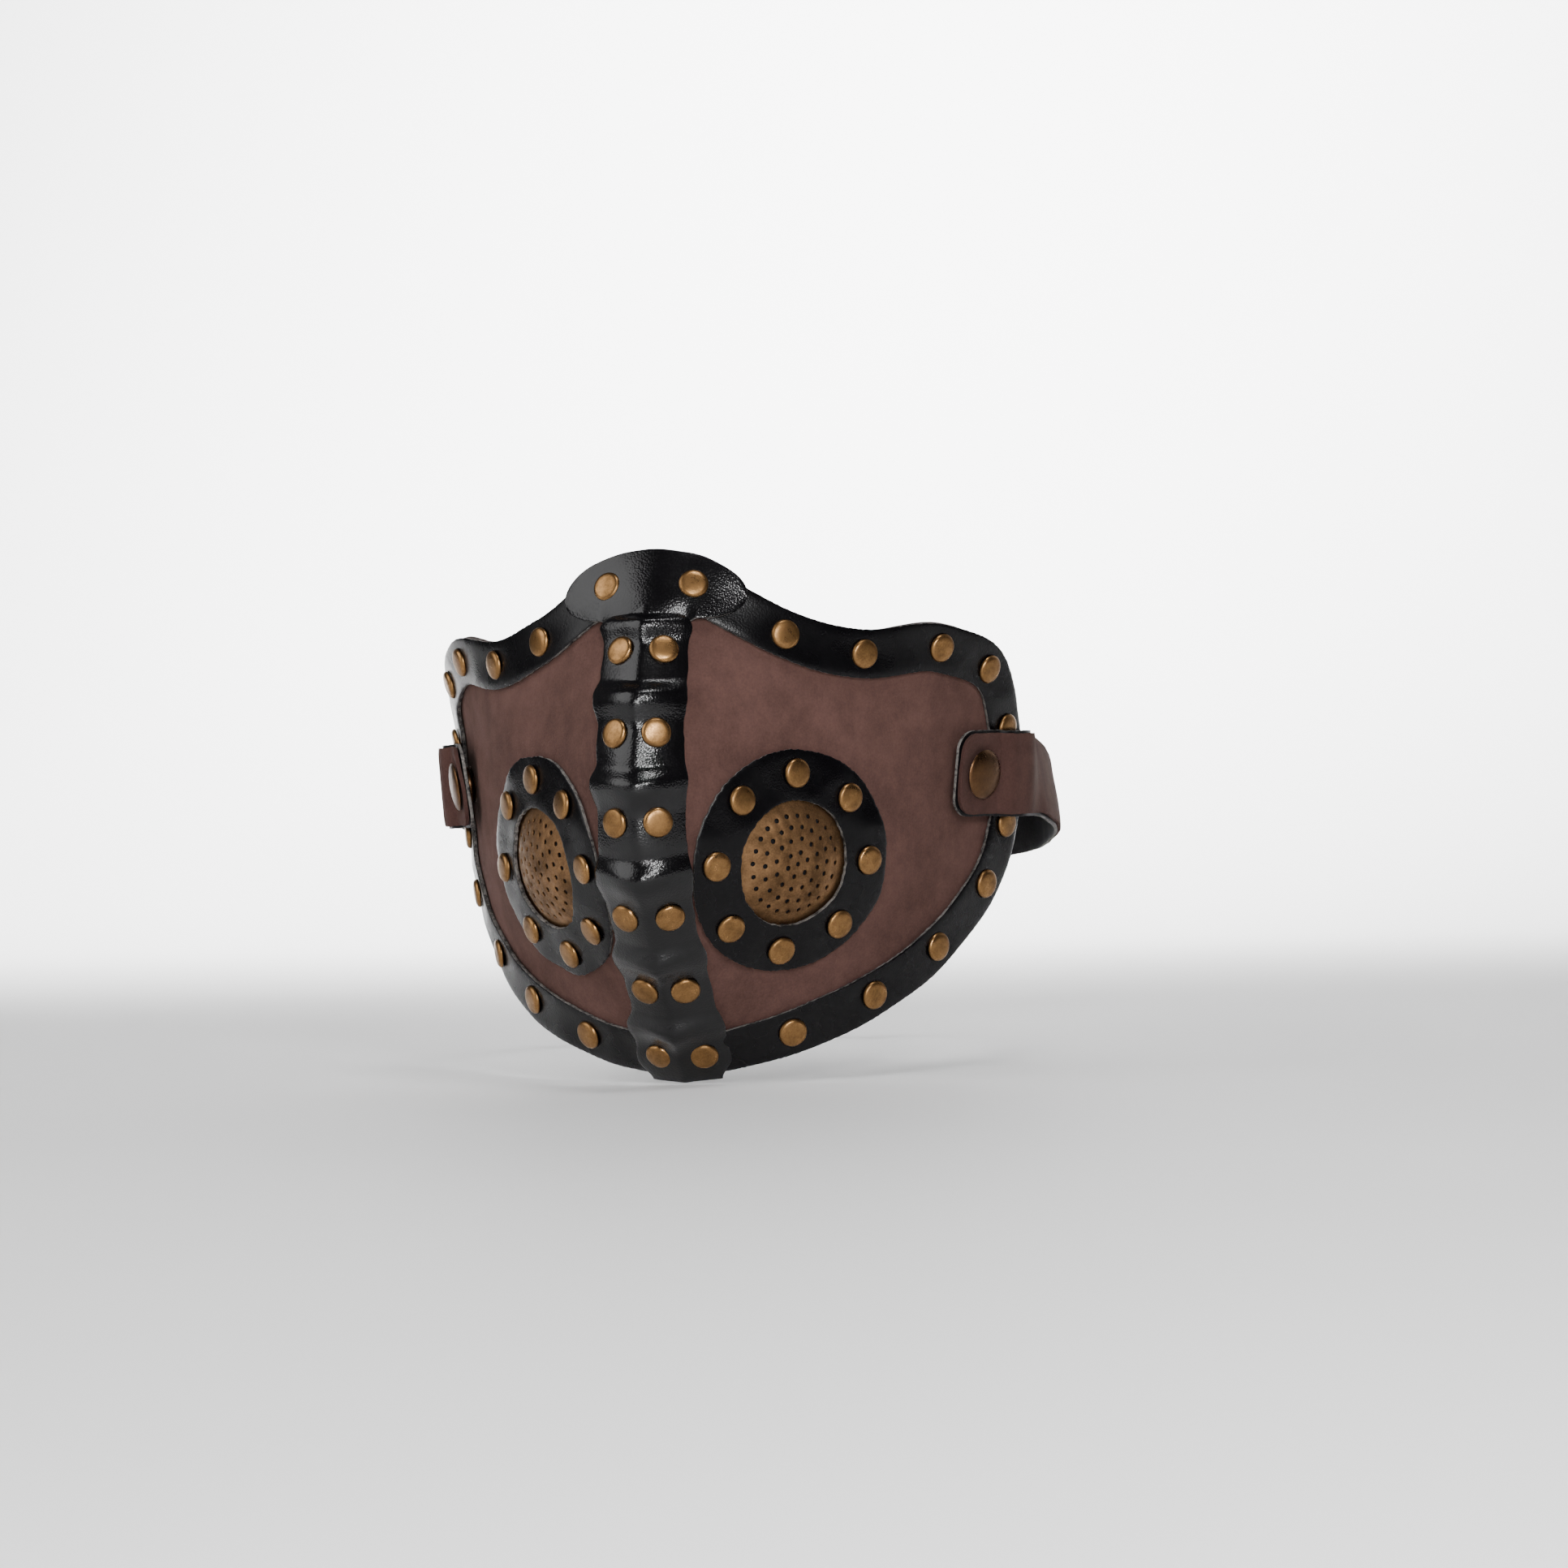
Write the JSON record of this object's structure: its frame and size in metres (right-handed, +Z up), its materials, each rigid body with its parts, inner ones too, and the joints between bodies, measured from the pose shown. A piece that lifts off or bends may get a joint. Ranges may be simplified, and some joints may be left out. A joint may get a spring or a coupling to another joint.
{
  "type": "half-face costume mask",
  "caption": "Half-face costume mask in faux suede with black leatherette trim, rivets, two round perforated vents and a neck strap on snap fasteners.",
  "frame": {"origin": "middle of the wearer's head, level with the two strap snaps, on the mask's plane of symmetry", "axes": "+Z up, -Y is where the wearer looks, +X is the wearer's left"},
  "size_m": [0.1551, 0.2009, 0.1287],
  "materials": {
    "suede_cheek": "matte brown faux suede with a soft nap",
    "suede_strap": "matte brown faux suede strap",
    "black_leatherette": "semi-gloss black leatherette with a fine grain and cut edges",
    "rivet_brass": "antique brass, domed and satin",
    "grille_brass": "tarnished perforated brass sheet",
    "snap_brass": "dark antique brass",
    "hook_and_loop": "black hook-and-loop tape"
  },
  "bodies": {
    "mask": {"left_cheek_panel": "suede_cheek", "left_edge_trim": "black_leatherette", "right_cheek_panel": "suede_cheek", "right_edge_trim": "black_leatherette", "centre_strip": "black_leatherette", "nose_tab": "black_leatherette", "left_vent_patch": "black_leatherette", "left_vent_grille": "grille_brass", "left_vent_backing": "rivet_brass", "right_vent_patch": "black_leatherette", "right_vent_grille": "grille_brass", "right_vent_backing": "rivet_brass", "left_trim_rivet_1": "rivet_brass", "left_trim_rivet_2": "rivet_brass", "left_trim_rivet_3": "rivet_brass", "left_trim_rivet_4": "rivet_brass", "left_trim_rivet_5": "rivet_brass", "left_trim_rivet_6": "rivet_brass", "left_trim_rivet_7": "rivet_brass", "left_trim_rivet_8": "rivet_brass", "left_trim_rivet_9": "rivet_brass", "left_trim_rivet_10": "rivet_brass", "left_strip_rivet_1": "rivet_brass", "left_strip_rivet_2": "rivet_brass", "left_strip_rivet_3": "rivet_brass", "left_strip_rivet_4": "rivet_brass", "left_strip_rivet_5": "rivet_brass", "left_strip_rivet_6": "rivet_brass", "left_nose_rivet": "rivet_brass", "left_snap_stud": "snap_brass", "right_trim_rivet_1": "rivet_brass", "right_trim_rivet_2": "rivet_brass", "right_trim_rivet_3": "rivet_brass", "right_trim_rivet_4": "rivet_brass", "right_trim_rivet_5": "rivet_brass", "right_trim_rivet_6": "rivet_brass", "right_trim_rivet_7": "rivet_brass", "right_trim_rivet_8": "rivet_brass", "right_trim_rivet_9": "rivet_brass", "right_trim_rivet_10": "rivet_brass", "right_strip_rivet_1": "rivet_brass", "right_strip_rivet_2": "rivet_brass", "right_strip_rivet_3": "rivet_brass", "right_strip_rivet_4": "rivet_brass", "right_strip_rivet_5": "rivet_brass", "right_strip_rivet_6": "rivet_brass", "right_nose_rivet": "rivet_brass", "right_snap_stud": "snap_brass"},
    "left_snap_slider": {"left_snap_cap": "snap_brass", "left_snap_socket": "snap_brass"},
    "left_strap_half": {"left_strap": "suede_strap", "left_strap_lining": "black_leatherette", "hook_patch": "hook_and_loop"},
    "right_snap_slider": {"right_snap_cap": "snap_brass", "right_snap_socket": "snap_brass"},
    "right_strap_half": {"right_strap": "suede_strap", "right_strap_lining": "black_leatherette", "loop_patch": "hook_and_loop"}
  },
  "joints": [
    {"name": "left_snap_pull", "type": "slide", "parent": "mask", "child": "left_snap_slider", "axis": [0.8933, -0.4283, -0.1363], "range_m": [0, 0.003]},
    {"name": "left_strap_swivel", "type": "hinge", "parent": "left_snap_slider", "child": "left_strap_half", "pos_m": [0.0619, 0, 0], "axis": [0.8933, -0.4283, -0.1363], "range_deg": [-12, 12]},
    {"name": "right_snap_pull", "type": "slide", "parent": "mask", "child": "right_snap_slider", "axis": [-0.8933, -0.4283, -0.1363], "range_m": [0, 0.003]},
    {"name": "right_strap_swivel", "type": "hinge", "parent": "right_snap_slider", "child": "right_strap_half", "pos_m": [-0.0619, 0, 0], "axis": [-0.8933, -0.4283, -0.1363], "range_deg": [-12, 12]}
  ],
  "couplings": [
    {"joint": "right_strap_swivel", "follows": "left_strap_swivel", "ratio": -1}
  ]
}
